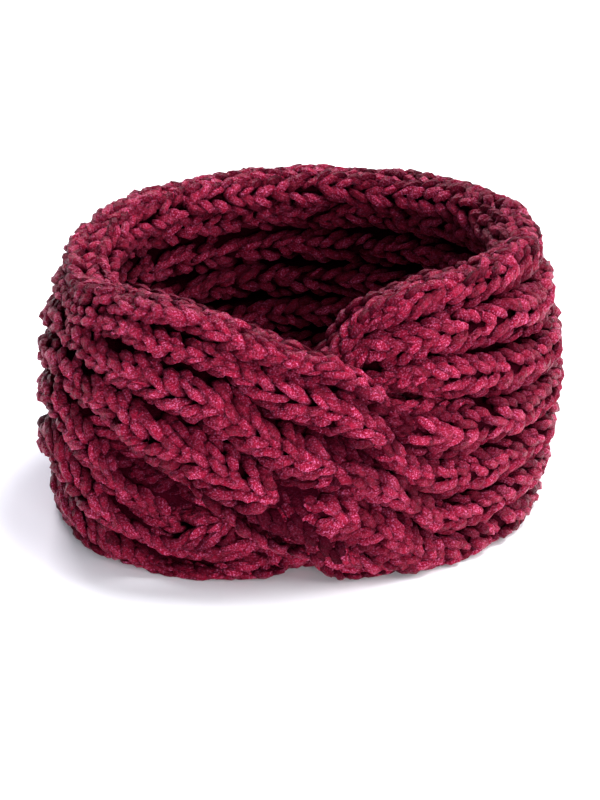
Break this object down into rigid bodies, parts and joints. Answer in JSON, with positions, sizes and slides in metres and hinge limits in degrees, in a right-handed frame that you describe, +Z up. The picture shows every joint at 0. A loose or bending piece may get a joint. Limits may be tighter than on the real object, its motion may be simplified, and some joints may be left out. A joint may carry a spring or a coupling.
{
  "type": "ear warmer headband",
  "caption": "Wide ear warmer headband of chunky ribbed knit with a cable-like twist at the front, open at the top and at the bottom.",
  "frame": {"origin": "middle of the footprint, on the surface that the band stands on", "axes": "+Z up, -Y towards the front where the strands cross, +X to the right seen from the front"},
  "size_m": [0.1824, 0.1706, 0.1007],
  "materials": {
    "yarn": "deep raspberry chenille yarn, velvety"
  },
  "bodies": {
    "root": {"back_band": "yarn", "over_strand": "yarn", "under_strand": "yarn"}
  },
  "joints": []
}
